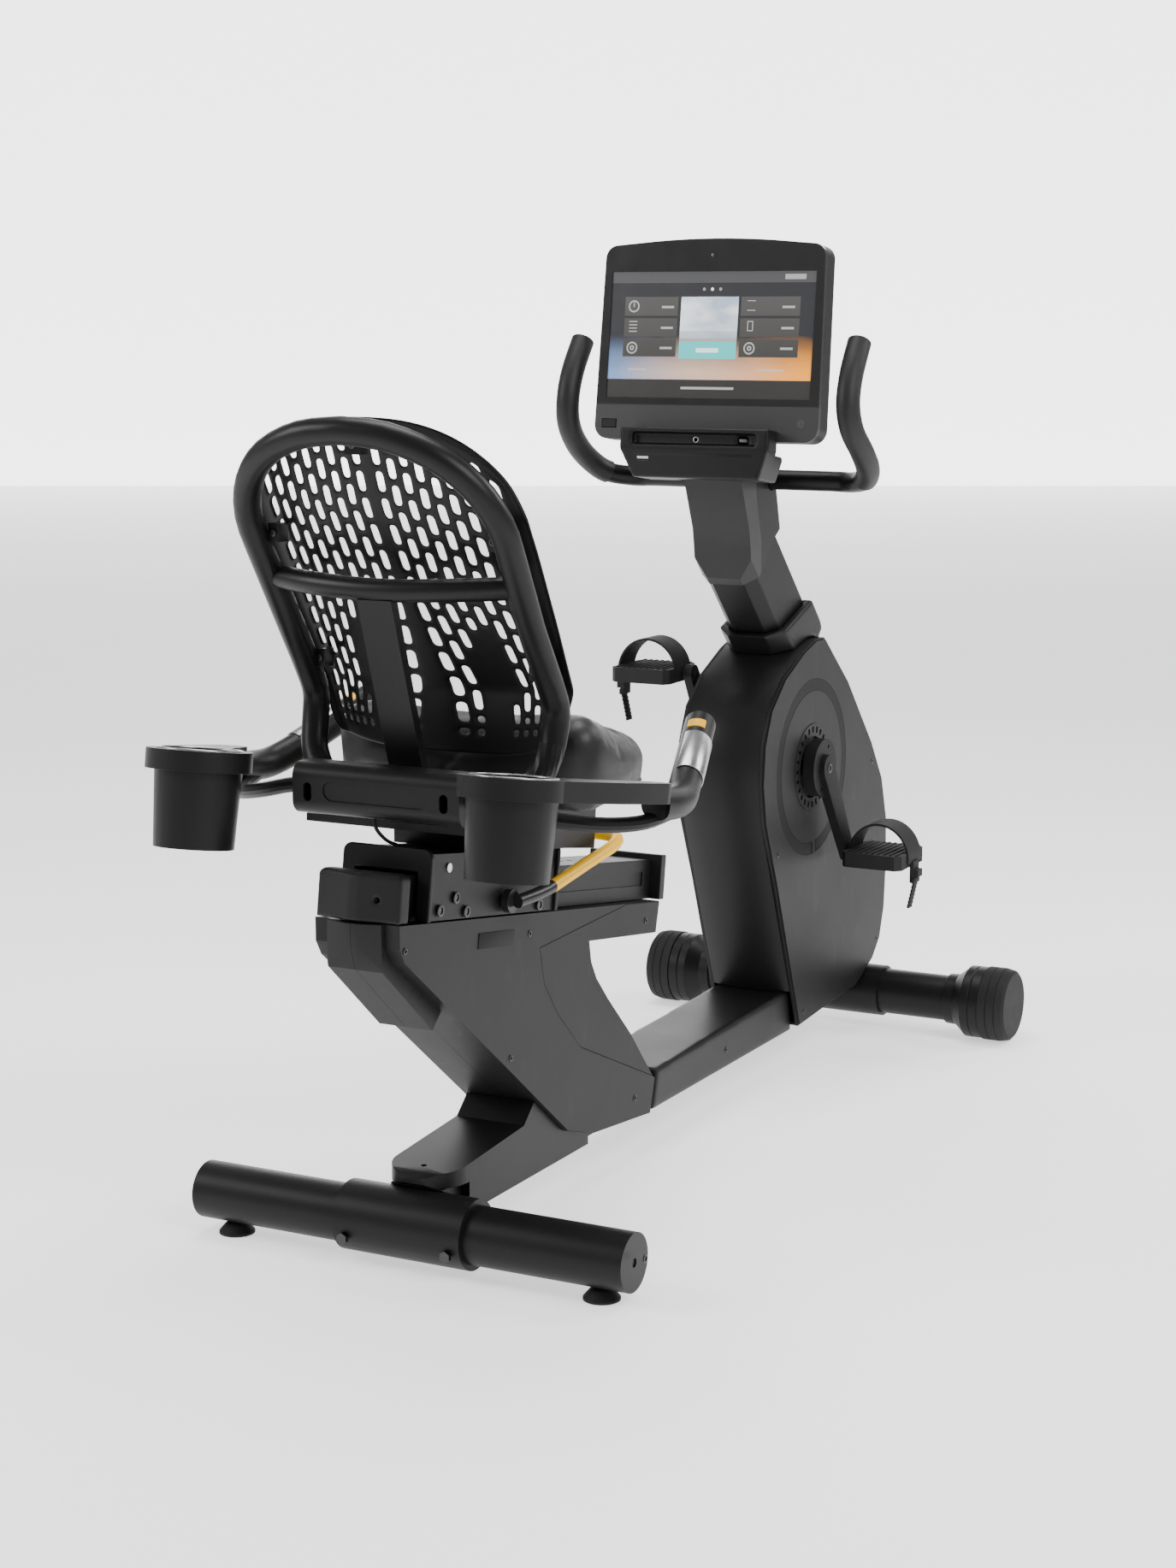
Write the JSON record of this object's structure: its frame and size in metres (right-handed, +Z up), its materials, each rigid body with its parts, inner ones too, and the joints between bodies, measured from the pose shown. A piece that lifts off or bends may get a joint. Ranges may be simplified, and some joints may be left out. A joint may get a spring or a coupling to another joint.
{
  "type": "recumbent exercise bike",
  "caption": "Recumbent exercise bike: seat with mesh back on an inclined rail, drive housing with cranks and pedals, mast with touchscreen console, stabilizer base.",
  "frame": {"origin": "middle of the footprint box on the floor", "axes": "+X forwards, the way the rider faces; +Y to the rider's left; +Z up"},
  "size_m": [1.7031, 0.68, 1.3494],
  "materials": {
    "frame_paint": "fine textured powder coat",
    "bare_steel": "machined",
    "cover_grey": "spark textured",
    "cover_black": "satin textured",
    "bezel_black": "satin gloss",
    "screen_glass": "display behind glass",
    "black_rubber": "matt rubber",
    "seat_cover": "grained vinyl",
    "yellow": "smooth"
  },
  "bodies": {
    "frame": {"base_beam": "frame_paint", "rear_stabilizer": "frame_paint", "rear_end_caps": "cover_black", "front_stabilizer": "frame_paint", "saddles": "frame_paint", "saddle_bolts": "bare_steel", "wheel_housings": "cover_black", "beam_cover_rear": "cover_black", "beam_cover_mid": "cover_black", "seat_post": "frame_paint", "post_cover_left": "cover_grey", "post_cover_right": "cover_grey", "post_front_cover": "cover_grey", "rail": "frame_paint", "rail_rear_cap": "cover_grey", "rail_front_cap": "frame_paint", "drive_frame": "frame_paint", "shroud_left": "cover_grey", "shroud_right": "cover_grey", "shroud_rear_cover": "cover_black", "vent_rings": "cover_black", "mast_collar": "cover_black", "mast": "frame_paint", "neck_cover_rear": "cover_grey", "neck_cover_front": "cover_black", "handlebar": "frame_paint", "handlebar_grips": "black_rubber", "console_back": "cover_black", "console_bezel": "bezel_black", "console_screen": "screen_glass", "console_pod": "cover_grey", "hub_bearings": "bare_steel", "drive_belt": "black_rubber"},
    "seat_carriage": {"carriage": "frame_paint", "carriage_plates": "frame_paint", "seat_frame": "frame_paint", "seat_cushion": "seat_cover", "seat_back_frame": "frame_paint", "seat_back_shell": "cover_black", "crossmember": "frame_paint", "tray_left": "cover_black", "tray_right": "cover_black", "grip_left": "cover_black", "grip_right": "cover_black", "sensor_lead": "black_rubber"},
    "foot_left": {"foot_left": "black_rubber"},
    "foot_right": {"foot_right": "black_rubber"},
    "front_wheel_left": {"front_wheel_left": "black_rubber"},
    "front_wheel_right": {"front_wheel_right": "black_rubber"},
    "rollers_rear": {"rollers_rear": "bare_steel"},
    "rollers_front": {"rollers_front": "bare_steel"},
    "seat_lever": {"seat_lever": "yellow"},
    "lock_pin": {"lock_pin": "bare_steel"},
    "crankset": {"crankset": "bezel_black"},
    "flywheel": {"flywheel": "bare_steel"},
    "pedal_left": {"pedal_left": "black_rubber"},
    "pedal_right": {"pedal_right": "black_rubber"},
    "power_button": {"power_button": "bezel_black"},
    "grip_button_left": {"grip_button_left": "yellow"},
    "grip_button_right": {"grip_button_right": "yellow"}
  },
  "joints": [
    {"name": "seat_slide", "type": "slide", "parent": "frame", "child": "seat_carriage", "axis": [0.9893, 0, -0.1461], "range_m": [0, 0.326]},
    {"name": "seat_lever_lift", "type": "hinge", "parent": "seat_carriage", "child": "seat_lever", "pos_m": [-0.50892, 0, 0.46907], "axis": [0, -1, 0], "range_deg": [0, 12], "stiffness_Nm_per_rad": 3, "springref_deg": -11.46},
    {"name": "lock_pin_slide", "type": "slide", "parent": "seat_carriage", "child": "lock_pin", "axis": [0.1461, 0, 0.9893], "range_m": [0, 0.0062]},
    {"name": "rear_rollers_spin", "type": "hinge", "parent": "seat_carriage", "child": "rollers_rear", "pos_m": [-0.65327, 0, 0.53891], "axis": [0, 1, 0], "continuous": true},
    {"name": "front_rollers_spin", "type": "hinge", "parent": "seat_carriage", "child": "rollers_front", "pos_m": [-0.40595, 0, 0.50239], "axis": [0, 1, 0], "continuous": true},
    {"name": "crank_spin", "type": "hinge", "parent": "frame", "child": "crankset", "pos_m": [0.505, 0, 0.5], "axis": [0, 1, 0], "continuous": true},
    {"name": "flywheel_spin", "type": "hinge", "parent": "frame", "child": "flywheel", "pos_m": [0.68, 0, 0.33], "axis": [0, 1, 0], "continuous": true},
    {"name": "pedal_left_spin", "type": "hinge", "parent": "crankset", "child": "pedal_left", "pos_m": [0.42508, 0.173, 0.65287], "axis": [0, 1, 0], "continuous": true},
    {"name": "pedal_right_spin", "type": "hinge", "parent": "crankset", "child": "pedal_right", "pos_m": [0.58492, -0.173, 0.34713], "axis": [0, 1, 0], "continuous": true},
    {"name": "front_wheel_left_spin", "type": "hinge", "parent": "frame", "child": "front_wheel_left", "pos_m": [0.787, 0.315, 0.063], "axis": [0, 1, 0], "continuous": true},
    {"name": "front_wheel_right_spin", "type": "hinge", "parent": "frame", "child": "front_wheel_right", "pos_m": [0.787, -0.315, 0.063], "axis": [0, 1, 0], "continuous": true},
    {"name": "foot_left_height", "type": "slide", "parent": "frame", "child": "foot_left", "axis": [0, 0, -1], "range_m": [0, 0.01]},
    {"name": "foot_right_height", "type": "slide", "parent": "frame", "child": "foot_right", "axis": [0, 0, -1], "range_m": [0, 0.01]},
    {"name": "power_button_press", "type": "slide", "parent": "frame", "child": "power_button", "axis": [0.9925, 0, -0.1219], "range_m": [0, 0.0015], "stiffness_N_per_m": 300, "springref_m": -0.001},
    {"name": "grip_button_left_press", "type": "slide", "parent": "seat_carriage", "child": "grip_button_left", "axis": [0.3673, -0.113, -0.9232], "range_m": [0, 0.0015], "stiffness_N_per_m": 300, "springref_m": -0.001},
    {"name": "grip_button_right_press", "type": "slide", "parent": "seat_carriage", "child": "grip_button_right", "axis": [0.3673, 0.113, -0.9232], "range_m": [0, 0.0015], "stiffness_N_per_m": 300, "springref_m": -0.001}
  ],
  "couplings": [
    {"joint": "lock_pin_slide", "follows": "seat_lever_lift", "m_per_rad": 0.0286},
    {"joint": "rear_rollers_spin", "follows": "seat_slide", "rad_per_m": 105.26},
    {"joint": "front_rollers_spin", "follows": "seat_slide", "rad_per_m": 105.26},
    {"joint": "flywheel_spin", "follows": "crank_spin", "ratio": 3.538}
  ]
}
